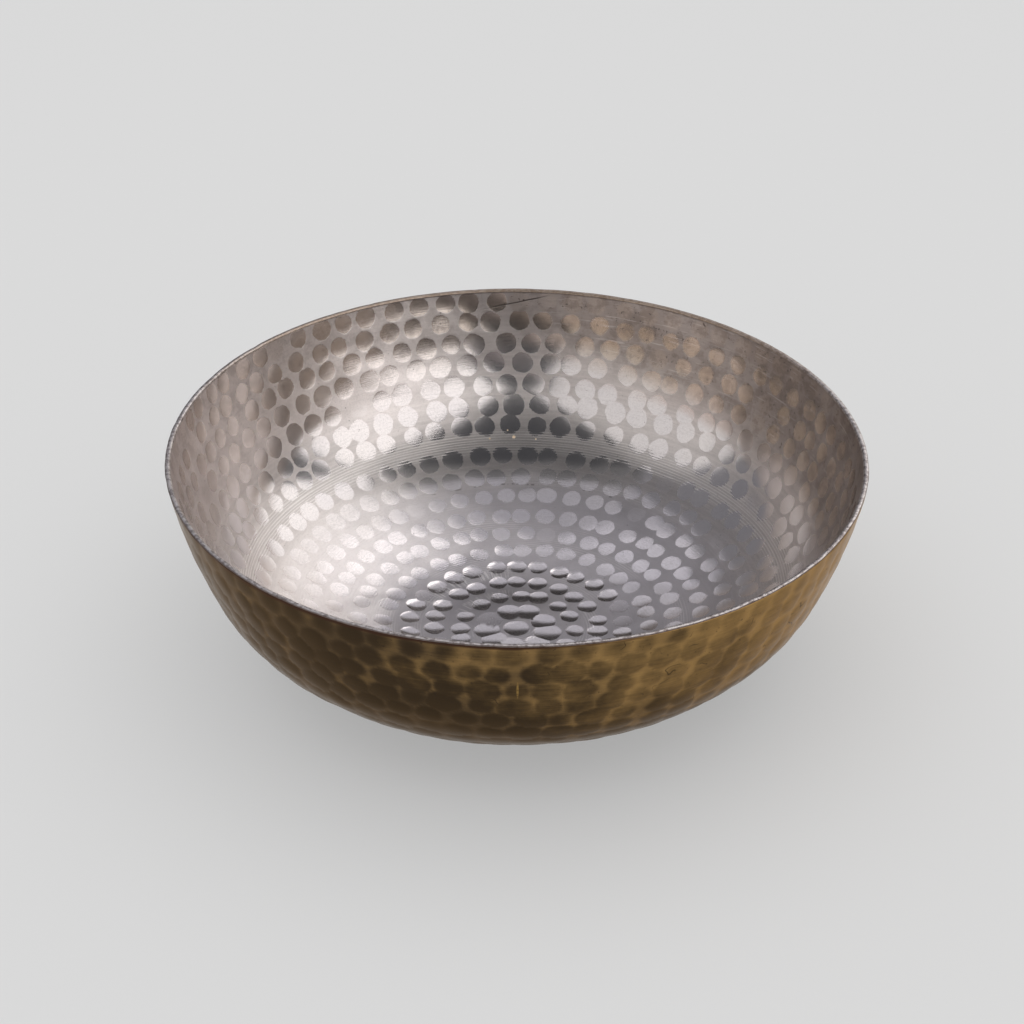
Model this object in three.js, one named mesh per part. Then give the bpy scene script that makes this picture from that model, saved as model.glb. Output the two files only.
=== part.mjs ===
// A round hammered bowl: one raised sheet-metal shell, and the tin that lines its inside and turns over its rim.
// Millimetres, +Z up. The origin is the middle of the flat foot that the bowl stands on.
import * as THREE from "three";

// Driving dimensions, in millimetres and degrees.
const RIM_RADIUS = 140; // to the outer edge of the rim
const HEIGHT = 91; // from the foot to the top of the rim
const SHELL_THICKNESS = 1.6;
const LINING_THICKNESS = 0.3;
const SEAM = 0.1; // left all over between the shell and the tin, so that the two solids stay clear
const FOOT_RADIUS = 24; // the flat disc under the middle
const FLOOR_RADIUS = 170; // of the shallow arc that leaves the foot
const FLOOR_END_SLOPE = 25; // above the horizontal, where the floor runs into the corner
const CORNER_RADIUS = 63; // of the round turn from floor to wall
const WALL_START_SLOPE = 68; // above the horizontal, where the corner runs into the wall

// How finely the round surfaces are divided.
const SIDES = 64;
const FLOOR_STEPS = 4;
const CORNER_STEPS = 5;
const WALL_STEPS = 4;

const LINING_BACK = SHELL_THICKNESS + SEAM; // the depths of the lining's two faces inside the outside one
const LINING_FRONT = LINING_BACK + LINING_THICKNESS;
const radians = THREE.MathUtils.degToRad;

// Points along an arc that starts at a point with one slope and ends with another. Each keeps its own slope.
function arcPoints(start, endSlope, radius, steps) {
  return Array.from({ length: steps }, (_, i) => {
    const slope = start.slope + ((endSlope - start.slope) * (i + 1)) / steps;
    return {
      r: start.r + radius * (Math.sin(slope) - Math.sin(start.slope)),
      z: start.z + radius * (Math.cos(start.slope) - Math.cos(slope)),
      slope,
    };
  });
}

// The wall is the one arc that leaves the corner smoothly and ends at the rim.
function wallPoints(start) {
  const across = RIM_RADIUS - start.r;
  const up = HEIGHT - start.z;
  const halfTurn = Math.atan2(up, across) - start.slope;
  const radius = Math.hypot(across, up) / (2 * Math.sin(halfTurn));
  return arcPoints(start, start.slope + 2 * halfTurn, radius, WALL_STEPS);
}

// The outside of the bowl, from the edge of its foot to its rim.
function outsideProfile() {
  const foot = { r: FOOT_RADIUS, z: 0, slope: 0 };
  const floor = arcPoints(foot, radians(FLOOR_END_SLOPE), FLOOR_RADIUS, FLOOR_STEPS);
  const corner = arcPoints(floor.at(-1), radians(WALL_START_SLOPE), CORNER_RADIUS, CORNER_STEPS);
  return [foot, ...floor, ...corner, ...wallPoints(corner.at(-1))];
}

const outside = outsideProfile();
const rimSlope = outside.at(-1).slope;

// The end of the surface that lies a depth inside the outside one, cut level at a height near the rim.
function wallEnd(depth, height) {
  const back = depth / Math.sin(rimSlope) + (HEIGHT - height) / Math.tan(rimSlope);
  return new THREE.Vector2(RIM_RADIUS - back, height);
}

// The whole surface at a depth inside the outside one, from the axis to that level cut.
function surface(depth, height) {
  const axis = new THREE.Vector2(0, depth);
  const between = outside.slice(0, -1).map(
    ({ r, z, slope }) => new THREE.Vector2(r - depth * Math.sin(slope), z + depth * Math.cos(slope)),
  );
  return [axis, ...between, wallEnd(depth, height)];
}

// A body of revolution about +Z between an outer and an inner surface.
function revolve(outer, inner) {
  const geometry = new THREE.LatheGeometry([...outer, ...inner.reverse()], SIDES);
  return geometry.rotateX(Math.PI / 2);
}

const liningEdge = HEIGHT - LINING_THICKNESS; // the underside of the tin on the rim
const shellTop = liningEdge - SEAM;

// The raised body: aged yellow-brown metal outside, cut off level under the tin.
function bowlShell() {
  const geometry = revolve(surface(0, shellTop), surface(SHELL_THICKNESS, shellTop));
  const material = new THREE.MeshStandardMaterial({ color: 0x7a5c30, roughness: 0.45, metalness: 1 });
  const mesh = new THREE.Mesh(geometry, material);
  mesh.name = "bowl_shell";
  return mesh;
}

// The tin: it lies on the inside of the shell and covers the cut edge at the rim.
function tinLining() {
  const back = [...surface(LINING_BACK, liningEdge), wallEnd(0, liningEdge), wallEnd(0, HEIGHT)];
  const geometry = revolve(back, surface(LINING_FRONT, HEIGHT));
  const material = new THREE.MeshStandardMaterial({ color: 0xb9b1ad, roughness: 0.3, metalness: 1 });
  const mesh = new THREE.Mesh(geometry, material);
  mesh.name = "tin_lining";
  return mesh;
}

const bowl = new THREE.Group();
bowl.add(bowlShell(), tinLining());

export default bowl;
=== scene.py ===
"""The looks of a hammered bowl: a raised sheet-metal shell, tinned inside and over its rim.

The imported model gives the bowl's size. Lengths are in metres and angles in radians, unless a name or a
comment says otherwise. A place on a surface of the bowl is (s, turn): how far it is from the axis along the
outline, and the angle round the axis, from +X towards +Y.
"""

import math

import bpy
import numpy as np
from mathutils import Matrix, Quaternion, Vector
from mathutils.geometry import delaunay_2d_cdt


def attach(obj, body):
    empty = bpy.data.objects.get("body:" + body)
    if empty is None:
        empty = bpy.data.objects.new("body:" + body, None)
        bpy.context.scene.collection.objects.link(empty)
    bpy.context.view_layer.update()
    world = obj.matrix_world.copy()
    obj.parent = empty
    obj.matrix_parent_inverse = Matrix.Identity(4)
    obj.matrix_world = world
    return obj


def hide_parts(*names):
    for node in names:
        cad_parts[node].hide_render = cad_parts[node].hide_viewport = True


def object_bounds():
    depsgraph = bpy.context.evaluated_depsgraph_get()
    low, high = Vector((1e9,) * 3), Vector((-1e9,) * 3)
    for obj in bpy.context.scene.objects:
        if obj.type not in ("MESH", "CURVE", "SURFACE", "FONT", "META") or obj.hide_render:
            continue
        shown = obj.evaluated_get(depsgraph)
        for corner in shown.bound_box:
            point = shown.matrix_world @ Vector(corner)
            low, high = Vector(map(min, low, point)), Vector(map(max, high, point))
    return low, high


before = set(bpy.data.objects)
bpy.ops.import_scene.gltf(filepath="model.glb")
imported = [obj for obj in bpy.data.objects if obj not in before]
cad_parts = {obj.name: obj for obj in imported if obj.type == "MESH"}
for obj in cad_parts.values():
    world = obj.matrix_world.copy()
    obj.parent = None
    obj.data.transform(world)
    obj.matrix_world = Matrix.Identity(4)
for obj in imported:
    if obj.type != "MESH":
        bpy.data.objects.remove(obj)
cad_low, cad_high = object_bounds()

MM = 0.001
FULL_TURN = 2 * math.pi

# The outline of the outside, as the CAD model has it.
RIM_RADIUS = cad_high.x
HEIGHT = cad_high.z
WALL_THICKNESS = 2 * MM
FOOT_RADIUS = 24 * MM
FLOOR_RADIUS = 170 * MM
FLOOR_END_SLOPE = math.radians(25)
CORNER_RADIUS = 63 * MM
WALL_START_SLOPE = math.radians(68)

# The rim isn't quite level: it is lowest on the right.
RIM_LEAN = math.radians(0.42)
LEAN_START = 120 * MM

# The sheet's slow waves, as (height, wave length along the outline, waves round the axis, phase).
SHEET_WAVES = (
    (0.10 * MM, 46 * MM, 5, 0.4),
    (0.08 * MM, 33 * MM, 9, 2.1),
    (0.05 * MM, 24 * MM, 14, 4.0),
    (0.04 * MM, 19 * MM, 23, 1.2),
)

# Hammer marks. They lie in rings, and one hammer face made them all, so a wider mark is a deeper one.
FLOOR_RINGS = np.linspace(12.8, 110, 10) * MM
WALL_RINGS = np.linspace(123, 181.2, 7) * MM
FLOOR_PITCH, WALL_PITCH = 9.7 * MM, 12.0 * MM
FLOOR_MARK, WALL_MARK = 4.35 * MM, 5.0 * MM
FACE_RADIUS = 5.3 * MM
MARK_DEPTH = 0.15 * MM
BULGE_RADIUS = 6.9 * MM
BULGE_HEIGHT = 0.29 * MM

# Near the middle the marks are closer together, larger and deeper.
MIDDLE_PITCH_LESS = 0.4 * MM
MIDDLE_MARK_MORE = 1.5 * MM
FORCE = 0.42
MIDDLE_FORCE_MORE = 2.4
RIM_FORCE_MORE = 0.3

# How the marks stray from their rings, and how many of them are faint.
RING_WAVE = 0.32 * MM
RING_WAVES_ROUND = (1, 2, 3, 5)
MARK_STRAY_MM = 0.45
TURN_STRAY_SHARE = 0.14
SIZE_STRAY_SHARE = 0.06
FAINT_SHARE = 0.03
FAINT_POLISH = 0.3
MARK_SEED, RIM_SEED = 11, 5

# The marks aren't quite round. Their outlines waver, as (height, wave length, direction, phase).
OUTLINE_WAVES = (
    (0.17 * MM, 13 * MM, 0.3, 0.7),
    (0.15 * MM, 9.1 * MM, 1.9, 2.9),
    (0.07 * MM, 6.7 * MM, 3.0, 5.1),
    (0.05 * MM, 5.2 * MM, 4.4, 1.3),
)

# How finely the surfaces are divided.
MARK_CIRCLES = ((0, 1), (0.45, 8), (0.8, 16), (0.985, 26), (1.03, 26))
RIDGE_STEP = 1.1 * MM
RIDGE_GAP = 0.12 * MM
LAND_STEP = 2.2 * MM
OUTSIDE_STEP = 1.3 * MM
RIM_COLUMNS = 720
PART_LENGTH = 4000

# Where the rows of the hidden faces lie, as shares of the way from the axis to the rim.
HIDDEN_ROWS = np.concatenate(
    [np.linspace(0.98, 0.79, 4), np.linspace(0.75, 0.40, 11), np.linspace(0.34, 0.03, 6)]
)

# The shell and the tin behind their shown faces, as depths inside the outside surface.
TIN_BACK = WALL_THICKNESS - 0.6 * MM
SHELL_FRONT = WALL_THICKNESS - 0.7 * MM

# The stage.
FLOOR_GAP = 0.05 * MM
FLOOR_HALF = 6.0
VIEW_ELEVATION = 31.9
VIEW_DISTANCE = 0.977
VIEW_CENTRE = Vector((-2.0 * MM, 0, 59.5 * MM))
LENS_MM = 84.3
BACKDROP = (0.68, 0.68, 0.68, 1)
ROOM_IN_METAL = (0.073, 0.075, 0.080, 1)

# The lights, as (name, azimuth, elevation, distance, width, height, brightness, lean, colour), in degrees.
WHITE, WARM, COOL = (1, 1, 1), (1.0, 0.97, 0.95), (0.97, 0.955, 1.04)
MIRRORED_LIGHTS = (
    ("key_front_right", 50, 25, 1.6, 2.3, 1.55, 1.35, 24, WARM),
    ("key_back_right", 132, 36, 1.6, 1.5, 1.6, 1.36, 0, WARM),
    ("fill_front_left", -51, 26, 1.6, 2.3, 1.5, 0.84, -24, WARM),
    ("fill_right_wall", -125, 38, 1.8, 1.9, 1.8, 0.175, 0, COOL),
    ("fill_back_low", 180, 43, 1.8, 1.2, 0.75, 0.56, 0, COOL),
    ("fill_back_high", 180, 66, 1.8, 1.2, 0.80, 0.40, 0, COOL),
    ("ceiling", 180, 84, 1.8, 2.2, 0.55, 0.10, 0, WARM),
)


# ---------------------------------------------------------------- the bowl's smooth form


def arc(start, end_slope, radius, steps=200):
    """(r, z, slope) along an arc from a start of that kind to another slope, without the start."""
    r, z, slope = start
    slopes = np.linspace(slope, end_slope, steps + 1)[1:]
    across = r + radius * (np.sin(slopes) - math.sin(slope))
    up = z + radius * (math.cos(slope) - np.cos(slopes))
    return np.stack([across, up, slopes], axis=1)


def outside_outline():
    """(r, z, slope) from the axis to the rim."""
    foot = np.array([[0.0, 0.0, 0.0], [FOOT_RADIUS, 0.0, 0.0]])
    floor = arc(foot[-1], FLOOR_END_SLOPE, FLOOR_RADIUS)
    corner = arc(floor[-1], WALL_START_SLOPE, CORNER_RADIUS)
    r, z, slope = corner[-1]
    across, up = RIM_RADIUS - r, HEIGHT - z
    half_turn = math.atan2(up, across) - slope
    wall = arc(corner[-1], slope + 2 * half_turn, math.hypot(across, up) / (2 * math.sin(half_turn)))
    return np.concatenate([foot, floor, corner, wall])


def smooth(value, zero, one):
    """A smooth step from 0 to 1 between those two values, which may run either way."""
    t = np.clip((value - zero) / (one - zero), 0, 1)
    return t * t * (3 - 2 * t)


def wavering(s, turn):
    """How far the marks' outlines stray there, outwards and round the axis."""
    x, y = s * np.cos(turn), s * np.sin(turn)
    along, across = 0, 0
    for height, length, way, phase in OUTLINE_WAVES:
        ahead = x * math.cos(way) + y * math.sin(way)
        aside = y * math.cos(way) - x * math.sin(way)
        along = along + height * np.sin(FULL_TURN * ahead / length + phase)
        across = across + height * np.sin(FULL_TURN * aside / length + 2 * phase)
    return along, across


def unit(vectors):
    return vectors / np.linalg.norm(vectors, axis=-1, keepdims=True)


def sheet_wave(s, turn):
    """How far the sheet waves in and out there. It is still in the middle and at the rim."""
    waves = sum(
        height * np.sin(FULL_TURN * s / length + phase) * np.cos(count * turn + 2 * phase)
        for height, length, count, phase in SHEET_WAVES
    )
    return waves * smooth(s, 25 * MM, 70 * MM) * smooth(s, 190 * MM, 165 * MM)


class Surface:
    """The surface that lies a depth inside the outside one."""

    def __init__(self, depth):
        r, z, self.slope = outside_outline().T
        self.r = r - depth * np.sin(self.slope)
        self.z = z + depth * np.cos(self.slope)
        steps = np.hypot(np.diff(self.r), np.diff(self.z))
        self.s = np.concatenate([[0], np.cumsum(steps)])

    def outline(self, s):
        """r, z and slope at those distances from the axis."""
        return [np.interp(s, self.s, values) for values in (self.r, self.z, self.slope)]

    def s_at_height(self, z):
        return float(np.interp(z, self.z, self.s))

    def place(self, s, turn):
        """Positions, and normals on the hollow's side."""
        r, z, slope = self.outline(s)
        z = z - np.tan(RIM_LEAN) * r * np.cos(turn) * smooth(s, LEAN_START, self.s[-1])
        cos_turn, sin_turn = np.cos(turn), np.sin(turn)
        position = np.stack([r * cos_turn, r * sin_turn, z], axis=-1)
        normal = np.stack([-np.sin(slope) * cos_turn, -np.sin(slope) * sin_turn, np.cos(slope)], axis=-1)
        outwards = np.stack([np.cos(slope) * cos_turn, np.cos(slope) * sin_turn, np.sin(slope)], axis=-1)
        round_axis = np.stack([-sin_turn, cos_turn, 0 * turn], axis=-1)
        wave = sheet_wave(s, turn)
        rise_out = (sheet_wave(s + 1 * MM, turn) - wave) / MM
        rise_round = (sheet_wave(s, turn + 1 * MM / np.maximum(r, 10 * MM)) - wave) / MM
        tilted = normal - rise_out[..., None] * outwards - rise_round[..., None] * round_axis
        return position + wave[..., None] * normal, unit(tilted)

    def step(self, s, turn, along, across):
        """The places reached from others by a short way outwards and another round the axis."""
        flat_x = s + along
        flat_s, flat_turn = np.hypot(flat_x, across), turn + np.arctan2(across, flat_x)
        far_s = np.maximum(s + along, 0)
        far_turn = turn + across / np.maximum(self.outline(far_s)[0], 1 * MM)
        near = s < 30 * MM
        return np.where(near, flat_s, far_s), np.where(near, flat_turn, far_turn)

    def strayed(self, s, turn, share=1.0):
        """Where places are looked up among the marks, so that the marks' outlines waver."""
        along, across = wavering(s, turn)
        return self.place(*self.step(s, turn, share * along, share * across))[0]

    def unstrayed(self, s, turn):
        """The places that strayed takes to the given ones."""
        found = s, turn
        for _ in range(4):
            along, across = wavering(*found)
            found = self.step(s, turn, -along, -across)
        return found


OUTSIDE = Surface(0)
INSIDE = Surface(WALL_THICKNESS)
OUTSIDE_RIM_S = OUTSIDE.s_at_height(HEIGHT)
INSIDE_RIM_S = INSIDE.s_at_height(HEIGHT)

# Blemishes: gold specks on the tin as (s, turn in degrees, radius), a crease under the rim at the back,
# a ring of nicks, turning lines, and a gold streak on the front of the outside.
GOLD_SPECKS = (
    (118.4 * MM, 90.6, 0.9 * MM),
    (118.0 * MM, 96.2, 0.5 * MM),
    (117.6 * MM, 85.5, 0.45 * MM),
    (121.6 * MM, 92.0, 0.45 * MM),
)
CREASE_S = INSIDE_RIM_S - 5.5 * MM
CREASE_RISE = 0.22
CREASE_REACH = 17 * MM
NICKED_S_MM = 95.9
LINE_PITCH_MM = 1.2
GOLD_STREAK_S = 165 * MM
GOLD_STREAK_SIZE = (0.5 * MM, 9 * MM, 5.5 * MM)

# Colours of the tin: of its land, of the hammer marks, of what dirties both, and of the lip. The left wall's
# lighter land and mark tints are painted light, and the crease tint is painted shade.
LAND_TINTS = (0.56, 0.525, 0.51, 1), (0.66, 0.615, 0.60, 1)
FLOOR_LAND_TINT = (0.43, 0.41, 0.42, 1)
SCOURED_TINT = (0.72, 0.68, 0.665, 1)
# Painted light: the land on the left wall, lightened as if more light fell there.
LEFT_LAND_PAINTED_LIGHT_TINT = (0.95, 0.885, 0.865, 1)
CUT_TINT = (0.80, 0.77, 0.75, 1)
WORN_LAND_TINT = (0.30, 0.255, 0.23, 1)
MARK_TINTS = (0.64, 0.61, 0.615, 1), (0.70, 0.665, 0.655, 1)
TAN_MARK_TINT = (0.48, 0.38, 0.285, 1)
WORN_MARK_TINT = (0.37, 0.30, 0.235, 1)
# Painted light: the marks on the left wall, lightened as if more light fell there.
LEFT_MARK_PAINTED_LIGHT_TINT = (0.84, 0.77, 0.74, 1)
SPECKLE_TINT = (0.36, 0.33, 0.315, 1)
STAIN_TINT = (0.22, 0.185, 0.165, 1)
SCUFF_TINT = (0.66, 0.62, 0.60, 1)
BRUSHED_TINT = (0.36, 0.335, 0.325, 1)
PIT_TINT = (0.10, 0.085, 0.08, 1)
NICK_TINT = (0.07, 0.055, 0.05, 1)
# Painted shade along the crease.
CREASE_SHADE_TINT = (0.06, 0.05, 0.045, 1)
GOLD_SPECK_TINT = (0.80, 0.62, 0.42, 1)
LIP_TINTS = (0.33, 0.29, 0.28, 1), (0.74, 0.70, 0.68, 1)
LIP_BACK_TINT = (0.40, 0.29, 0.20, 1)
LIP_SIDE_TINT = (0.09, 0.05, 0.04, 1)

# Colours of the shell. The patina has one between the bulges and one on them. Mixing towards the gold also
# paints light on the right, and mixing away from it paints shade low down.
PATINA_TINTS = (0.080, 0.053, 0.029, 1), (0.043, 0.028, 0.015, 1)
GOLD_TINT = (0.41, 0.252, 0.092, 1)
DIRT_TINT = (0.035, 0.024, 0.016, 1)
OXIDE_TINT = (0.05, 0.022, 0.015, 1)
GOLD_STREAK_TINT = (0.55, 0.34, 0.10, 1)
EDGE_TINT = (0.80, 0.64, 0.50, 1)


# ---------------------------------------------------------------- hammer marks


class Marks:
    """Where the hammer fell, ring by ring.

    Each mark has a radius, a random tone, a force that says how deep it is, a polish, and a bend, which is 1
    for a round hollow and more for one with a flatter bottom.
    """

    def __init__(self):
        random = np.random.default_rng(MARK_SEED)
        rings = [self.ring(ring, random) for ring in (0, *FLOOR_RINGS, *WALL_RINGS)]
        table = np.concatenate(rings, axis=1)
        self.s, self.turn, self.radius, self.tone, self.force, self.bend, self.polish = table
        self.centre, self.normal = INSIDE.place(self.s, self.turn)
        self.count = len(self.s)

    def ring(self, s, random):
        """One ring of marks, or one mark where s is 0: rows of s, turn, radius, tone, force, bend, polish."""
        up_wall = smooth(s, 70 * MM, 140 * MM)
        pitch = FLOOR_PITCH + (WALL_PITCH - FLOOR_PITCH) * up_wall
        pitch = pitch - MIDDLE_PITCH_LESS * smooth(s, 60 * MM, 40 * MM)
        size = FLOOR_MARK + (WALL_MARK - FLOOR_MARK) * up_wall
        size = size + MIDDLE_MARK_MORE * smooth(s, 24 * MM, 12 * MM)
        count = max(1, round(FULL_TURN * INSIDE.outline(s)[0] / pitch))
        loose = 1 + 0.35 * (1 - smooth(s, 20 * MM, 60 * MM))
        first = random.uniform(0, FULL_TURN)
        steps = np.arange(count) + loose * random.uniform(-TURN_STRAY_SHARE, TURN_STRAY_SHARE, count)
        turns = first + FULL_TURN / count * steps
        waves = sum(
            RING_WAVE * np.sin(waves_round * turns + random.uniform(0, FULL_TURN))
            for waves_round in RING_WAVES_ROUND
        )
        places = s + (waves + loose * random.uniform(-MARK_STRAY_MM, MARK_STRAY_MM, count) * MM) * (s > 0)
        sizes = size * (1 + SIZE_STRAY_SHARE * loose * random.uniform(-1, 1, count))
        tones = random.uniform(0, 1, count)
        force = FORCE + MIDDLE_FORCE_MORE * smooth(s, 60 * MM, 38 * MM)
        force = force + RIM_FORCE_MORE * smooth(s, 150 * MM, 170 * MM)
        force = force * (1 + (0.25 - 0.15 * smooth(s, 30 * MM, 20 * MM)) * random.uniform(-1, 1, count))
        bend = np.full(count, 1.5 - 0.5 * smooth(s, 46 * MM, 34 * MM))
        faint = random.uniform(0, 1, count) < FAINT_SHARE
        # The top ring is clear only at the back on the left.
        if s == WALL_RINGS[-1]:
            faint |= (np.cos(turns) > -0.05) | (np.sin(turns) < 0.15)
        polish = np.where(faint, FAINT_POLISH, 1)
        return np.stack([places, turns, sizes, tones, force * polish, bend, polish])


def nearest_mark(position, radius, centre):
    """For each position, the mark whose hollow is deepest there: its index and radius² - distance².

    The positions are taken in parts, which keeps the table of positions and marks small.
    """
    index = np.zeros(len(position), int)
    reach = np.zeros(len(position))
    for start in range(0, len(position), PART_LENGTH):
        part = slice(start, start + PART_LENGTH)
        here = position[part]
        depth = 2 * here @ centre.T + (radius**2 - (centre**2).sum(axis=1)) - (here**2).sum(axis=1)[:, None]
        index[part] = depth.argmax(axis=1)
        reach[part] = depth.max(axis=1)
    return index, reach


def circle_points(marks):
    """Points on circles round each mark's middle, which give it a crisp edge, and their marks."""
    s, turn, owner = [], [], []
    everyone = np.arange(marks.count)
    for share, count in MARK_CIRCLES:
        angle = FULL_TURN * (np.arange(count) + 0.5) / count
        along = share * marks.radius[:, None] * np.cos(angle)
        across = share * marks.radius[:, None] * np.sin(angle)
        ring_s, ring_turn = INSIDE.step(marks.s[:, None], marks.turn[:, None], along, across)
        s.append(ring_s.ravel())
        turn.append(ring_turn.ravel())
        owner.append(np.repeat(everyone if share < 1 else -1 - everyone, count))
    return np.concatenate(s), np.concatenate(turn), np.concatenate(owner)


def ridge_points(marks):
    """Points on both sides of the ridge between two marks that overlap, and their marks."""
    s, turn, owner = [], [], []
    gaps = np.linalg.norm(marks.centre[:, None] - marks.centre[None], axis=2)
    overlapping = np.argwhere(np.triu(gaps < marks.radius[:, None] + marks.radius[None], 1))
    for i, j in overlapping:
        apart = gaps[i, j]
        reach = (apart**2 + marks.radius[i] ** 2 - marks.radius[j] ** 2) / (2 * apart)
        half_chord = math.sqrt(max(marks.radius[i] ** 2 - reach**2, 0))
        offsets = np.linspace(-half_chord, half_chord, 2 + int(2 * half_chord / RIDGE_STEP))
        outwards = np.array([math.cos(marks.turn[i]), math.sin(marks.turn[i])])
        round_axis = np.array([-outwards[1], outwards[0]])
        to_other = marks.centre[j] - marks.centre[i]
        across = to_other[:2] @ round_axis
        along = math.copysign(math.sqrt(max(apart**2 - across**2, 0)), marks.s[j] - marks.s[i])
        direction = np.array([along, across]) / apart
        sideways = np.array([-direction[1], direction[0]])
        for side, mark in ((-0.5, i), (0.5, j)):
            line = direction * (reach + side * RIDGE_GAP) + offsets[:, None] * sideways
            line_s, line_turn = INSIDE.step(marks.s[i], marks.turn[i], line[:, 0], line[:, 1])
            s.append(line_s)
            turn.append(line_turn)
            owner.append(np.full(len(offsets), mark))
    return np.concatenate(s), np.concatenate(turn), np.concatenate(owner)


def even_points(surface, step, s_end):
    """Points spread evenly over a surface, ring by ring, out to a distance from the axis."""
    s, turn = [np.zeros(1)], [np.zeros(1)]
    for index, ring in enumerate(np.arange(step, s_end - 0.5 * step, step * 0.9)):
        count = max(6, round(FULL_TURN * float(surface.outline(ring)[0]) / step))
        s.append(np.full(count, ring))
        turn.append(FULL_TURN * (np.arange(count) + 0.5 * (index % 2)) / count)
    return np.concatenate(s), np.concatenate(turn)


def spread(s, turn):
    """The places laid out flat, for triangulating."""
    return np.stack([s * np.cos(turn), s * np.sin(turn)], axis=1)


def thinned(s, turn, cell=0.12 * MM):
    """A mask that keeps one point of those that crowd into the same small cell."""
    keys = np.floor(spread(s, turn) / cell).astype(np.int64)
    _, first = np.unique(keys[:, 0] * 100003 + keys[:, 1], return_index=True)
    keep = np.zeros(len(s), bool)
    keep[first] = True
    return keep


def inside_places(marks, s_end):
    """The places of the inside's vertices: close along each mark's edge, and sparse on the land."""
    s, turn, owner = (np.concatenate(parts) for parts in zip(circle_points(marks), ridge_points(marks)))
    s, turn = INSIDE.unstrayed(s, turn)
    deepest, reach = nearest_mark(INSIDE.strayed(s, turn), marks.radius, marks.centre)
    in_own_mark = (owner >= 0) & (deepest == owner)
    on_open_land = (owner < 0) & (reach <= 0)
    keep = (in_own_mark | on_open_land) & (s < s_end - 0.3 * MM)
    s, turn = s[keep], turn[keep]

    land_s, land_turn = even_points(INSIDE, LAND_STEP, s_end)
    _, reach = nearest_mark(INSIDE.strayed(land_s, land_turn), marks.radius + 0.5 * MM, marks.centre)
    keep = reach < 0
    s, turn = np.concatenate([s, land_s[keep]]), np.concatenate([turn, land_turn[keep]])
    keep = thinned(s, turn)
    return s[keep], turn[keep]


# ---------------------------------------------------------------- meshes


def columns(count):
    return FULL_TURN * np.arange(count) / count


class Body:
    """A closed mesh: a triangulated face, then rows round the axis, and last a point on the axis."""

    def __init__(self, s, turn, s_end, place):
        """The face: its places, and a last ring of them at s_end. place gives positions and normals."""
        edge_turn = columns(RIM_COLUMNS)
        s = np.concatenate([s, np.full(RIM_COLUMNS, s_end)])
        turn = np.concatenate([turn, edge_turn])
        flat = spread(s, turn) / MM
        _, _, faces, _, _, _ = delaunay_2d_cdt([Vector(p) for p in flat.tolist()], [], [], 0, 1e-6)
        self.faces = [tuple(face) for face in faces]
        self.edge = np.arange(len(s) - RIM_COLUMNS, len(s))
        self.s, self.turn = [s], [turn]
        position, normal = place(s, turn)
        self.position, self.normal = [position], [normal]
        self.face_count = len(s)

    def row(self, s, position, normal):
        """One more row of vertices beyond the last one, joined to it."""
        start = sum(map(len, self.position))
        ring = np.arange(start, start + RIM_COLUMNS)
        for k in range(RIM_COLUMNS):
            n = (k + 1) % RIM_COLUMNS
            self.faces.append((self.edge[k], ring[k], ring[n], self.edge[n]))
        self.s.append(np.broadcast_to(s, RIM_COLUMNS))
        self.turn.append(columns(RIM_COLUMNS))
        self.position.append(position)
        self.normal.append(normal)
        self.edge = ring

    def close(self, position, normal):
        """The last vertex, on the axis."""
        last = sum(map(len, self.position))
        for k in range(RIM_COLUMNS):
            self.faces.append((self.edge[k], last, self.edge[(k + 1) % RIM_COLUMNS]))
        self.s.append(np.zeros(1))
        self.turn.append(np.zeros(1))
        self.position.append(position)
        self.normal.append(normal)

    def object(self, name, inside_out, attributes):
        """The Blender object. attributes maps a name to values for the first vertices; the rest have 0."""
        position = np.concatenate(self.position)
        normal = np.concatenate(self.normal)
        faces = [face[::-1] for face in self.faces] if inside_out else self.faces
        mesh = bpy.data.meshes.new(name)
        mesh.from_pydata(position.tolist(), [], faces)
        s, turn = np.concatenate(self.s), np.concatenate(self.turn)
        lathe = np.stack([np.cos(turn), np.sin(turn), s / MM], axis=1).astype(np.float32)
        mesh.attributes.new("lathe", "FLOAT_VECTOR", "POINT").data.foreach_set("vector", lathe.ravel())
        for key, values in attributes.items():
            padded = np.zeros(len(position), np.float32)
            padded[: len(values)] = values
            mesh.attributes.new(key, "FLOAT", "POINT").data.foreach_set("value", padded)
        mesh.shade_smooth()
        mesh.normals_split_custom_set_from_vertices(normal.tolist())
        made = bpy.data.objects.new(name, mesh)
        bpy.context.scene.collection.objects.link(made)
        return made


def rim_noise(random, amplitude, waves=(3, 7, 13, 29, 53, 97)):
    """A rough, closed wave round the rim, for its columns."""
    turn = columns(RIM_COLUMNS)
    total = sum(np.sin(k * turn + random.uniform(0, FULL_TURN)) * random.uniform(0.4, 1) for k in waves)
    return amplitude * total / math.sqrt(len(waves))


def rim_nicks(random, count=46):
    """0 to 1 round the rim: how deep its nicks and dents are, each a few millimetres long."""
    turn = columns(RIM_COLUMNS)
    depth = np.zeros(RIM_COLUMNS)
    for _ in range(count):
        apart = np.abs((turn - random.uniform(0, FULL_TURN) + math.pi) % FULL_TURN - math.pi)
        depth += random.uniform(0.2, 1) * np.exp(-((apart / random.uniform(0.006, 0.02)) ** 2))
    return depth


def rim_row(across, up):
    """Positions at a height below or above the rim's top, and a way outwards from the inside surface."""
    turn = columns(RIM_COLUMNS)
    z = HEIGHT + up
    r = np.interp(z, INSIDE.z, INSIDE.r) + across
    lean = np.tan(RIM_LEAN) * INSIDE.outline(INSIDE_RIM_S)[0] * np.cos(turn)
    return np.stack([r * np.cos(turn), r * np.sin(turn), z - lean], axis=1)


def rim_normal(angle):
    """Normals at that angle above the way to the axis: 0 faces the axis, a quarter turn faces up."""
    turn = columns(RIM_COLUMNS)
    inward, up = math.cos(angle), math.sin(angle)
    return np.stack([-inward * np.cos(turn), -inward * np.sin(turn), np.full(RIM_COLUMNS, up)], axis=1)


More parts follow.
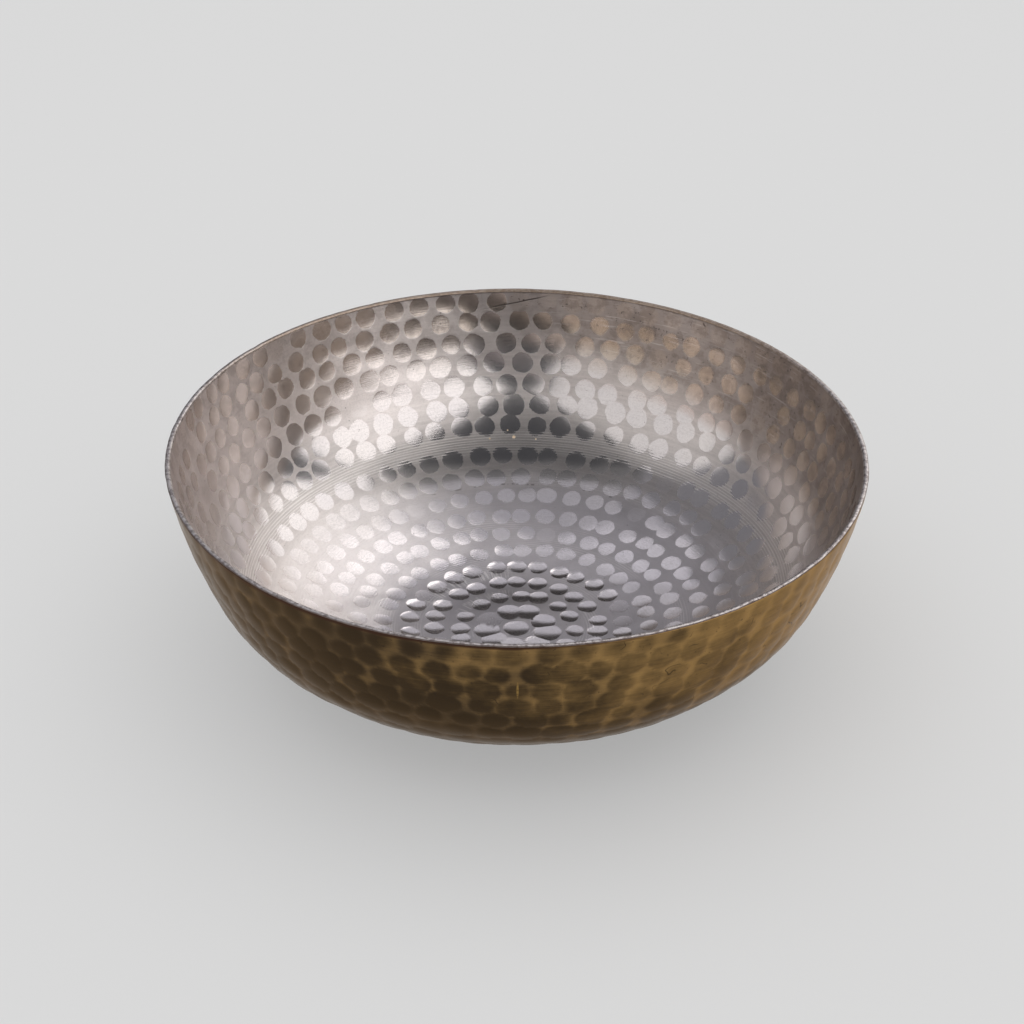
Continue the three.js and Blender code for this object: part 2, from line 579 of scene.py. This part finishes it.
def tin_face(marks, s, turn):
    """Positions, normals, and the looks: the mark's polish, its tone, and 0 to 1 from its edge inwards."""
    position, normal = INSIDE.place(s, turn)
    strayed = INSIDE.strayed(s, turn)
    index, reach = nearest_mark(strayed, marks.radius, marks.centre)
    hit = reach > 0
    face = np.maximum(FACE_RADIUS, marks.radius[index])
    inwards = np.clip(reach / face**2, 0, 1)
    bend = marks.bend[index]
    depth = MARK_DEPTH * marks.force[index] * (1 - (1 - inwards) ** bend)
    rate = MARK_DEPTH * marks.force[index] * bend * (1 - inwards) ** (bend - 1) / face**2
    away = strayed - marks.centre[index]
    away = away - (away * normal).sum(axis=1, keepdims=True) * normal
    tilt = np.where(hit[:, None], -2 * rate[:, None] * away, 0)
    looks = (marks.polish[index] * hit, marks.tone[index] * hit, inwards)
    return position - depth[:, None] * normal, unit(normal + tilt), looks


def tin(marks):
    """The tin: the hammered inside, the lip over the rim, and a plain back against the shell."""
    random = np.random.default_rng(RIM_SEED)
    s_end = INSIDE.s_at_height(HEIGHT - 1.2 * MM)
    s, turn = inside_places(marks, s_end)
    body = Body(s, turn, s_end, lambda s, turn: tin_face(marks, s, turn)[:2])
    polish, tone, inwards = tin_face(marks, body.s[0], body.turn[0])[2]

    ragged = rim_noise(random, 0.07 * MM) - 0.12 * MM * rim_nicks(random)
    bowed = rim_noise(random, 0.12 * MM)
    # The lip's rows from the inside outwards, as (across in mm, up in mm, angle of the normal).
    lip = (
        (0.02, -0.60, 0.2),
        (0.12, -0.25, 0.6),
        (0.35, -0.06, 1.1),
        (0.70, 0.02, 1.4),
        (1.15, 0.03, 1.6),
        (1.60, -0.02, 1.9),
        (1.88, -0.14, 2.5),
        (2.02, -0.35, 3.1),
        (2.03, -0.50, 3.3),
    )
    for across, up, angle in lip:
        body.row(s_end, rim_row(across * MM + bowed * (up > -0.5), up * MM + ragged), rim_normal(angle))
    # Back under the lip, above the shell's top edge.
    body.row(s_end, rim_row(1.95 * MM, -0.55 * MM + ragged), rim_normal(4.7))
    body.row(s_end, rim_row(0.62 * MM, -0.55 * MM + ragged), rim_normal(4.4))
    back = Surface(TIN_BACK)
    for share in HIDDEN_ROWS:
        position, normal = back.place(np.full(RIM_COLUMNS, share * back.s[-1]), columns(RIM_COLUMNS))
        body.row(share * back.s[-1], position, -normal)
    position, normal = back.place(np.zeros(1), np.zeros(1))
    body.close(position, -normal)

    # 1 on the lip, and 2 on its outer side.
    lip_mask = np.zeros(body.face_count + len(lip) * RIM_COLUMNS)
    lip_mask[body.face_count :] = np.repeat([1 + (across > 1.7) for across, _, _ in lip], RIM_COLUMNS)
    return body.object("tin", False, {"polish": polish, "tone": tone, "inwards": inwards, "lip": lip_mask})


def shell_face(marks, s, turn):
    """Positions and normals of the outside, where each mark is a soft bulge, and how high it is, 0 to 1."""
    position, normal = OUTSIDE.place(s, turn)
    centre = marks.centre - WALL_THICKNESS * marks.normal
    radius = BULGE_RADIUS * (0.86 + 0.28 * marks.tone)
    strayed = OUTSIDE.strayed(s, turn, 1.8)
    index, reach = nearest_mark(strayed, radius, centre)
    fade = smooth(s, FOOT_RADIUS, FOOT_RADIUS + 24 * MM)
    curve = BULGE_HEIGHT / BULGE_RADIUS**2 * fade * np.maximum(marks.polish[index], 0.65)
    height = curve * np.maximum(reach, 0)
    away = strayed - centre[index]
    away = away - (away * normal).sum(axis=1, keepdims=True) * normal
    tilt = np.where((reach > 0)[:, None], 2 * curve[:, None] * away, 0)
    return position - height[:, None] * normal, unit(-normal + tilt), height / BULGE_HEIGHT


def shell(marks):
    """The raised sheet: its bulged outside, its top edge under the lip, and a plain face behind the tin."""
    s_end = OUTSIDE.s_at_height(HEIGHT - 1.0 * MM)
    s, turn = even_points(OUTSIDE, OUTSIDE_STEP, s_end)
    body = Body(s, turn, s_end, lambda s, turn: shell_face(marks, s, turn)[:2])
    height = shell_face(marks, body.s[0], body.turn[0])[2]
    body.row(s_end, rim_row(1.97 * MM, -0.70 * MM), rim_normal(2.4))
    body.row(s_end, rim_row(0.75 * MM, -0.70 * MM), rim_normal(1.2))
    front = Surface(SHELL_FRONT)
    for share in HIDDEN_ROWS:
        position, normal = front.place(np.full(RIM_COLUMNS, share * front.s[-1]), columns(RIM_COLUMNS))
        body.row(share * front.s[-1], position, normal)
    position, normal = front.place(np.zeros(1), np.zeros(1))
    body.close(position, normal)
    return body.object("hammered_shell", True, {"bulge": height})


# ---------------------------------------------------------------- materials


class Shader:
    """A Principled material, with short ways to add the nodes that feed it."""

    def __init__(self, name):
        self.material = bpy.data.materials.new(name)
        self.material.use_nodes = True
        self.tree = self.material.node_tree
        self.surface = self.tree.nodes["Principled BSDF"].inputs
        self.lathe = self.node("Attribute", {}, output=1, attribute_name="lathe")
        parts = [self.node("SeparateXYZ", {0: self.lathe}, axis) for axis in range(3)]
        self.cos_turn, self.sin_turn, self.s_mm = parts
        self.object_place = self.node("TexCoord", {}, output=3)
        self.object_x = self.node("SeparateXYZ", {0: self.object_place})

    def feed(self, socket, value):
        if isinstance(value, bpy.types.NodeSocket):
            self.tree.links.new(value, socket)
        else:
            socket.default_value = value

    def node(self, kind, inputs, output=0, **settings):
        """One output of a new node. inputs maps a socket to a number, a colour or another node's output."""
        made = self.tree.nodes.new("ShaderNode" + kind)
        for name, value in settings.items():
            setattr(made, name, value)
        for key, value in inputs.items():
            self.feed(made.inputs[key], value)
        return made.outputs[output]

    def value(self, attribute):
        return self.node("Attribute", {}, output=2, attribute_name=attribute)

    def math(self, operation, a, b=0.0, c=0.0):
        return self.node("Math", {0: a, 1: b, 2: c}, operation=operation)

    def ramp(self, value, low, high, start=0.0, end=1.0):
        inputs = {"Value": value, "From Min": low, "From Max": high, "To Min": start, "To Max": end}
        return self.node("MapRange", inputs, interpolation_type="SMOOTHSTEP")

    def mix(self, share, a, b):
        return self.node("Mix", {0: share, 6: a, 7: b}, output=2, data_type="RGBA")

    def noise(self, scale, detail=2.0, rough=0.5, at=None):
        """Noise in the bowl's own space, with that many waves to the metre."""
        place = self.object_place if at is None else at
        inputs = {"Vector": place, "Scale": scale, "Detail": detail, "Roughness": rough}
        return self.node("TexNoise", inputs)

    def streaks(self, round_axis, per_mm, detail=3.0):
        """Noise drawn out round the axis, as a brush or a lathe tool leaves it."""
        scales = (round_axis, round_axis, per_mm)
        stretched = self.node("VectorMath", {0: self.lathe, 1: scales}, operation="MULTIPLY")
        return self.noise(1.0, detail, 0.6, at=stretched)

    def bump(self, height, depth, below=None):
        inputs = {"Height": height, "Strength": 1.0, "Distance": depth}
        if below is not None:
            inputs["Normal"] = below
        return self.node("Bump", inputs)


def spun_lines(made):
    """Fine lines that a tool left as the bowl turned, in a band at the corner and in groups. 0 to 1."""
    wander = made.streaks(1.5, 0.5)
    phase = made.math("MULTIPLY", made.s_mm, FULL_TURN / LINE_PITCH_MM)
    phase = made.math("MULTIPLY_ADD", wander, 6.0, phase)
    ripple = made.ramp(made.math("SINE", phase), -0.2, 0.9)
    corner = band(made, 112.5, 120, 3)
    groups = made.ramp(made.streaks(1.1, 0.08, 1.0), 0.50, 0.66, 0, 0.45)
    groups = made.math("MULTIPLY", groups, made.ramp(made.s_mm, 128, 118))
    return made.math("MULTIPLY", ripple, made.math("MAXIMUM", corner, groups))


def spot(made, place, size):
    """1 within about that distance of a point on the bowl, and 0 beyond. size has an x, a y and a z."""
    offset = made.node("VectorMath", {0: made.object_place, 1: tuple(place)}, operation="SUBTRACT")
    shrink = tuple(1 / length for length in size)
    scaled = made.node("VectorMath", {0: offset, 1: shrink}, operation="MULTIPLY")
    distance = made.node("VectorMath", {0: scaled}, output=1, operation="LENGTH")
    return made.ramp(distance, 1.0, 0.6)


def band(made, low, high, soft=2.0):
    """1 between two distances from the axis, in mm, and 0 beyond them."""
    inner = made.ramp(made.s_mm, low - soft, low)
    return made.math("MULTIPLY", inner, made.ramp(made.s_mm, high + soft, high))


def chatter_ticks(made):
    """Short radial ticks where the tool chattered, left of the floor's middle and behind it. 0 to 1."""
    place, _ = INSIDE.place(np.array(38 * MM), math.radians(125))
    where = made.math("MAXIMUM", band(made, 39, 43), band(made, 25, 28))
    where = made.math("MULTIPLY", where, spot(made, place, [26 * MM] * 3))
    return made.math("MULTIPLY", where, made.ramp(made.streaks(52, 0.10, 1.0), 0.5, 0.58))


def wear(made, blotch):
    """0 to 1: how worn the tin is, high on the wall on the right, and less on the left."""
    side = made.math("ABSOLUTE", made.cos_turn)
    zone = made.ramp(made.math("MULTIPLY_ADD", side, 22.0, made.s_mm), 152, 176)
    right = made.ramp(made.cos_turn, -0.2, 0.4, 0.35, 1)
    left = made.ramp(made.cos_turn, -0.5, -0.85, 0, 0.35)
    worn = made.math("MULTIPLY", made.math("MAXIMUM", right, left), zone)
    return made.math("MULTIPLY", worn, made.ramp(blotch, 0.25, 0.6, 0.6, 1))


def crease_line(made, blotch):
    """1 along the thin crease under the rim at the back, and 0 elsewhere."""
    across = made.math("MULTIPLY_ADD", made.object_x, -CREASE_RISE / MM, made.s_mm)
    across = made.math("MULTIPLY_ADD", blotch, 2.5, across)
    off_crease = made.math("ABSOLUTE", made.math("SUBTRACT", across, CREASE_S / MM + 1.25))
    along = made.ramp(made.math("ABSOLUTE", made.object_x), CREASE_REACH, 0.4 * CREASE_REACH)
    crease = made.math("MULTIPLY", made.ramp(off_crease, 0.36, 0.1), along)
    return made.math("MULTIPLY", crease, made.ramp(made.sin_turn, 0.5, 0.6))


class Tin(Shader):
    """The tin's material, with the masks that its parts share. They run from 0 to 1, and lip to 2."""

    def __init__(self):
        super().__init__("tin")
        names = ("polish", "tone", "inwards", "lip")
        self.polish, self.tone, self.inwards, self.lip = (self.value(name) for name in names)
        self.brushing = self.streaks(14, 2.6)
        self.blotch = self.noise(28, 3)
        self.grain = self.noise(560, 4, 0.65)
        self.fine = self.noise(1300, 3, 0.65)
        self.lines = spun_lines(self)
        self.ticks = chatter_ticks(self)
        self.worn = wear(self, self.blotch)
        self.crease = crease_line(self, self.blotch)
        self.grimy = self.math("MAXIMUM", self.worn, self.ramp(self.s_mm, 148, 174, 0, 0.4))
        on_left = self.ramp(self.cos_turn, -0.1, -0.75)
        self.scoured = self.math("MULTIPLY", on_left, band(self, 60, 101, 9))
        # Painted light: a mask for the left wall's lightened land and marks.
        on_left = self.ramp(self.cos_turn, -0.05, -0.5)
        self.painted_light_left_wall = self.math("MULTIPLY", on_left, self.ramp(self.s_mm, 128, 150))
        self.gloss = self.polished()

    def polished(self):
        """How polished the tin is: only in the marks, up to their ragged edges, and less under tool cuts."""
        cut_in = self.math("MULTIPLY", self.lines, self.ramp(self.inwards, 0.42, 0.12))
        cut_in = self.math("MAXIMUM", cut_in, self.math("MULTIPLY", self.ticks, 0.8))
        gloss = self.math("MULTIPLY", self.polish, self.math("SUBTRACT", 1.0, cut_in))
        ragged = self.math("SUBTRACT", self.streaks(60, 1.2), 0.5)
        ragged = self.math("MULTIPLY_ADD", ragged, 0.35, self.inwards)
        edge = self.math("MULTIPLY_ADD", self.worn, 0.4, 0.13)
        gloss = self.math("MULTIPLY", gloss, self.ramp(ragged, 0.0, edge))
        return self.math("MULTIPLY", gloss, self.math("MULTIPLY_ADD", self.scoured, -0.55, 1.0))


def land_tint(made):
    """The colour between the marks."""
    tint = made.mix(made.ramp(made.streaks(5, 0.7), 0.35, 0.7), *LAND_TINTS)
    tint = made.mix(made.ramp(made.s_mm, 104, 86, 0, 0.8), tint, FLOOR_LAND_TINT)
    tint = made.mix(made.math("MULTIPLY", made.scoured, 0.85), tint, SCOURED_TINT)
    # Painted light on the left wall's land.
    tint = made.mix(made.math("MULTIPLY", made.painted_light_left_wall, 0.9), tint, LEFT_LAND_PAINTED_LIGHT_TINT)
    cut = made.math("MULTIPLY", made.math("MAXIMUM", made.lines, made.ticks), 0.8)
    tint = made.mix(cut, tint, CUT_TINT)
    return made.mix(made.math("MULTIPLY", made.worn, 0.88), tint, WORN_LAND_TINT)


def mark_tint(made):
    """The colour of the polished marks, which is tan high on the wall."""
    tint = made.mix(made.ramp(made.blotch, 0.35, 0.7), *MARK_TINTS)
    tan = made.math("MAXIMUM", made.worn, made.ramp(made.s_mm, 152, 172, 0, 0.6))
    tan = made.math("MULTIPLY", tan, made.ramp(made.tone, -0.9, 0.6))
    tint = made.mix(tan, tint, TAN_MARK_TINT)
    tint = made.mix(made.math("MULTIPLY", made.worn, 0.75), tint, WORN_MARK_TINT)
    # Painted light on the left wall's marks.
    return made.mix(made.math("MULTIPLY", made.painted_light_left_wall, 0.5), tint, LEFT_MARK_PAINTED_LIGHT_TINT)


def nicks(made):
    """0 to 1: a ring of dark nicks round the back of the floor."""
    off_ring = made.math("MULTIPLY_ADD", made.blotch, 3.0, made.s_mm)
    off_ring = made.math("ABSOLUTE", made.math("SUBTRACT", off_ring, NICKED_S_MM))
    broken = made.ramp(made.streaks(26, 0.08), 0.52, 0.58)
    ring = made.math("MULTIPLY", made.ramp(off_ring, 0.5, 0.2), broken)
    return made.math("MULTIPLY", ring, made.ramp(made.sin_turn, 0.75, 0.9, 0, 0.55))


def soiled(made, tint):
    """That colour with specks, stains, scuffs, brushing, pits and nicks on it."""
    tint = made.mix(made.ramp(made.fine, 0.42, 0.70, 0, 0.2), tint, SPECKLE_TINT)
    stains = made.ramp(made.noise(150, 5, 0.7), 0.45, 0.60, 0, 0.65)
    tint = made.mix(made.math("MULTIPLY", stains, made.grimy), tint, STAIN_TINT)
    scuffs = made.ramp(made.streaks(9, 1.1), 0.60, 0.68, 0, 0.45)
    tint = made.mix(made.math("MULTIPLY", scuffs, made.grimy), tint, SCUFF_TINT)
    tint = made.mix(made.ramp(made.brushing, 0.52, 0.75, 0, 0.25), tint, BRUSHED_TINT)
    near_rim = made.math("MULTIPLY", made.grimy, 0.08)
    pits = made.ramp(made.math("ADD", made.grain, near_rim), 0.69, 0.74)
    tint = made.mix(made.math("MULTIPLY", pits, 0.75), tint, PIT_TINT)
    return made.mix(nicks(made), tint, NICK_TINT)


def gold_specks(made, tint):
    """That colour with the gold specks on it, and 0 to 1 for where they are."""
    specks = 0.0
    for s, degrees, radius in GOLD_SPECKS:
        place, _ = INSIDE.place(np.array(s), np.radians(degrees))
        speck = spot(made, place, [radius] * 3)
        tint = made.mix(speck, tint, GOLD_SPECK_TINT)
        specks = made.math("MAXIMUM", specks, speck)
    return tint, specks


def lip_tint(made):
    """The lip's colour: speckled grey, browner at the back, and dark on its outer side."""
    tint = made.mix(made.ramp(made.grain, 0.40, 0.56), *LIP_TINTS)
    tint = made.mix(made.ramp(made.sin_turn, 0.2, 0.8, 0, 0.75), tint, LIP_BACK_TINT)
    return made.mix(made.ramp(made.lip, 1.0, 2.0, 0, 0.85), tint, LIP_SIDE_TINT)


def tin_roughness(made):
    """Smoother in the marks and in the middle of the floor, and rougher on the lip."""
    rough = made.math("MULTIPLY_ADD", made.gloss, -0.18, 0.355)
    rough = made.math("MULTIPLY_ADD", made.scoured, -0.03, rough)
    rough = made.math("ADD", rough, made.ramp(made.s_mm, 64, 48, 0, -0.05))
    rough = made.math("MULTIPLY_ADD", made.math("SUBTRACT", made.brushing, 0.5), 0.12, rough)
    rough = made.math("MULTIPLY_ADD", made.math("SUBTRACT", made.fine, 0.5), 0.10, rough)
    return made.math("MAXIMUM", rough, made.ramp(made.lip, 0.0, 1.0, 0, 0.38))


def tin_relief(made):
    """Normals for what is finer than the mesh: lines, brushing, ticks, the crease and the lip's grain."""
    shallow = made.math("MULTIPLY", made.lines, made.ramp(made.inwards, 0.8, 0.2))
    grooves = made.bump(shallow, 0.03 * MM)
    brushed = made.bump(made.brushing, 0.02 * MM, grooves)
    scratches = made.math("MULTIPLY_ADD", made.fine, 0.35, made.ticks)
    scratched = made.bump(scratches, 0.025 * MM, brushed)
    folded = made.bump(made.math("MULTIPLY", made.crease, -1.0), 0.2 * MM, scratched)
    return made.bump(made.math("MULTIPLY", made.fine, made.lip), 0.15 * MM, folded)


def tin_material():
    made = Tin()
    tint = soiled(made, made.mix(made.gloss, land_tint(made), mark_tint(made)))
    tint, specks = gold_specks(made, tint)
    # Painted shade: the crease is darkened as a fold in shadow.
    tint = made.mix(made.math("MULTIPLY", made.crease, 0.7), tint, CREASE_SHADE_TINT)
    on_lip = made.ramp(made.lip, 0.0, 1.0, 0, 0.9)
    made.feed(made.surface["Base Color"], made.mix(on_lip, tint, lip_tint(made)))
    made.feed(made.surface["Metallic"], made.math("SUBTRACT", 1.0, specks))
    made.feed(made.surface["Roughness"], tin_roughness(made))
    made.feed(made.surface["Normal"], tin_relief(made))
    made.surface["Anisotropic"].default_value = 0.4
    tangent = made.node("Tangent", {}, direction_type="RADIAL", axis="Z")
    made.feed(made.surface["Tangent"], tangent)
    return made.material


def patina(made, brushing, blotch):
    """Darker on the bulges and gold between them. Darker on the left and gold on the right, which is painted
    light, and darker low down, which is painted shade.
    """
    bulge = made.value("bulge")
    coarse = made.streaks(5, 0.3)
    share = made.math("MULTIPLY_ADD", blotch, 0.95, -0.15)
    # Painted light: more gold on the right and less on the left, as the light falls from the right.
    share = made.math("MULTIPLY_ADD", made.cos_turn, 0.46, share)
    share = made.math("MULTIPLY_ADD", made.math("SUBTRACT", brushing, 0.5), 0.22, share)
    share = made.math("MULTIPLY_ADD", made.math("SUBTRACT", coarse, 0.5), 0.2, share)
    share = made.math("ADD", made.ramp(bulge, 0.0, 0.65, 0.13, -0.11), share)
    # Painted shade: less gold, and so darker, low down on the shell.
    share = made.math("ADD", share, made.ramp(made.s_mm, 162, 110, 0.05, -0.46))
    dark = made.mix(made.ramp(bulge, 0.05, 0.6), *PATINA_TINTS)
    return made.mix(made.ramp(share, 0.1, 0.95), dark, GOLD_TINT)


def shell_dirt(made, fine_dirt):
    """0 to 1: specks of dirt, and short cracks in the patina."""
    crack_line = made.math("ABSOLUTE", made.math("SUBTRACT", made.noise(90, 2), 0.5))
    broken = made.ramp(made.noise(110, 1), 0.63, 0.70)
    cracks = made.math("MULTIPLY", made.ramp(crack_line, 0.014, 0.004), broken)
    specks = made.ramp(fine_dirt, 0.63, 0.75, 0, 0.6)
    return made.math("MAXIMUM", specks, made.math("MULTIPLY", cracks, 0.8))


def rim_oxide(made, blotch):
    """0 to 1: a ragged line of oxide under the rim, wider on the left."""
    up = made.math("MULTIPLY_ADD", made.cos_turn, -1.3, made.s_mm)
    up = made.math("MULTIPLY_ADD", blotch, 2.0, up)
    return made.ramp(up, OUTSIDE_RIM_S / MM - 0.9, OUTSIDE_RIM_S / MM + 0.1)


def shell_material():
    made = Shader("aged_brass")
    brushing = made.streaks(9, 1.6, 4)
    blotch = made.noise(45, 4, 0.6)
    fine_dirt = made.noise(520, 3, 0.6)
    tint = patina(made, brushing, blotch)
    tint = made.mix(shell_dirt(made, fine_dirt), tint, DIRT_TINT)
    tint = made.mix(made.math("MULTIPLY", rim_oxide(made, blotch), 0.9), tint, OXIDE_TINT)
    place, _ = OUTSIDE.place(np.array(GOLD_STREAK_S), -0.5 * math.pi)
    streak = spot(made, place, GOLD_STREAK_SIZE)
    streak = made.math("MULTIPLY", streak, made.ramp(fine_dirt, 0.3, 0.6, 0.1, 0.5))
    made.feed(made.surface["Base Color"], made.mix(streak, tint, GOLD_STREAK_TINT))
    made.surface["Specular Tint"].default_value = EDGE_TINT
    made.surface["Metallic"].default_value = 1.0
    made.surface["Coat Weight"].default_value = 0.35
    made.surface["Coat Roughness"].default_value = 0.1
    made.surface["Coat IOR"].default_value = 1.2
    rough = made.math("MULTIPLY_ADD", made.math("SUBTRACT", blotch, 0.5), 0.2, 0.34)
    made.feed(made.surface["Roughness"], rough)
    made.feed(made.surface["Normal"], made.bump(brushing, 0.010 * MM))
    return made.material


def floor_material():
    """A pale surface that glows a little, as a light table does, so that the bowl's shadow stays soft."""
    material = bpy.data.materials.new("pale_floor")
    material.use_nodes = True
    surface = material.node_tree.nodes["Principled BSDF"].inputs
    surface["Base Color"].default_value = (0.41, 0.41, 0.41, 1)
    surface["Roughness"].default_value = 0.9
    surface["Specular IOR Level"].default_value = 0.0
    surface["Emission Color"].default_value = (1, 1, 1, 1)
    surface["Emission Strength"].default_value = 0.35
    return material


# ---------------------------------------------------------------- stage, lights and camera


def direction(azimuth, elevation):
    """A direction from the bowl, from degrees. Azimuth 0 is -Y, the camera's side, and grows towards +X."""
    a, e = math.radians(azimuth), math.radians(elevation)
    return Vector((math.sin(a) * math.cos(e), -math.cos(a) * math.cos(e), math.sin(e)))


def softbox(name, azimuth, elevation, distance, width, height, brightness, lean, tint, on_metal=True):
    """A rectangular light that faces the bowl. brightness is its radiance, and lean turns it in its plane.

    With on_metal the metal mirrors it and the floor doesn't see it, and without on_metal it is the other way.
    """
    light = bpy.data.lights.new(name, "AREA")
    light.shape = "RECTANGLE"
    light.size, light.size_y = width, height
    light.energy = brightness * math.pi * width * height
    light.color = tint
    lamp = bpy.data.objects.new(name, light)
    lamp.location = Vector((0, 0, HEIGHT / 2)) + distance * direction(azimuth, elevation)
    lamp.rotation_mode = "QUATERNION"
    facing = (-direction(azimuth, elevation)).to_track_quat("-Z", "Y")
    lamp.rotation_quaternion = facing @ Quaternion((0, 0, 1), math.radians(lean))
    lamp.visible_camera = False
    lamp.visible_glossy = on_metal
    lamp.visible_diffuse = not on_metal
    bpy.context.scene.collection.objects.link(lamp)


def lights():
    """Two keys and five fills that the metal mirrors, and one light overhead for the floor."""
    for light in MIRRORED_LIGHTS:
        softbox(*light)
    softbox("overhead", 0, 90, 1.8, 3.0, 3.0, 0.42, 0, WHITE, on_metal=False)


def stage():
    """A wide pale floor under the foot, in pale surroundings that are dark only where metal mirrors them."""
    mesh = bpy.data.meshes.new("floor")
    signs = ((-1, -1), (1, -1), (1, 1), (-1, 1))
    corners = [(x * FLOOR_HALF, y * FLOOR_HALF, -FLOOR_GAP) for x, y in signs]
    mesh.from_pydata(corners, [], [(0, 1, 2, 3)])
    mesh.materials.append(floor_material())
    floor = bpy.data.objects.new("floor", mesh)
    bpy.context.scene.collection.objects.link(floor)

    world = bpy.data.worlds.new("studio")
    world.use_nodes = True
    bpy.context.scene.world = world
    tree = world.node_tree
    backdrop = tree.nodes["Background"]
    backdrop.inputs["Color"].default_value = BACKDROP
    room = tree.nodes.new("ShaderNodeBackground")
    room.inputs["Color"].default_value = ROOM_IN_METAL
    ray = tree.nodes.new("ShaderNodeLightPath")
    mix = tree.nodes.new("ShaderNodeMixShader")
    tree.links.new(ray.outputs["Is Glossy Ray"], mix.inputs[0])
    tree.links.new(backdrop.outputs[0], mix.inputs[1])
    tree.links.new(room.outputs[0], mix.inputs[2])
    tree.links.new(mix.outputs[0], tree.nodes["World Output"].inputs[0])


def camera():
    """A long lens that looks down on the bowl from the front."""
    data = bpy.data.cameras.new("camera")
    data.sensor_width = 36
    data.lens = LENS_MM
    made = bpy.data.objects.new("camera", data)
    back = direction(0, VIEW_ELEVATION)
    made.location = VIEW_CENTRE + VIEW_DISTANCE * back
    made.rotation_mode = "QUATERNION"
    made.rotation_quaternion = (-back).to_track_quat("-Z", "Y")
    bpy.context.scene.collection.objects.link(made)
    bpy.context.scene.camera = made


# ---------------------------------------------------------------- the scene

marks = Marks()
for piece, node, slot, material in (
    (tin(marks), "tin_lining", "tin", tin_material()),
    (shell(marks), "bowl_shell", "aged_brass", shell_material()),
):
    piece.data.materials.append(material)
    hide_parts(node)
    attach(piece, "root")
stage()
lights()
camera()
bpy.context.scene.view_settings.view_transform = "Standard"
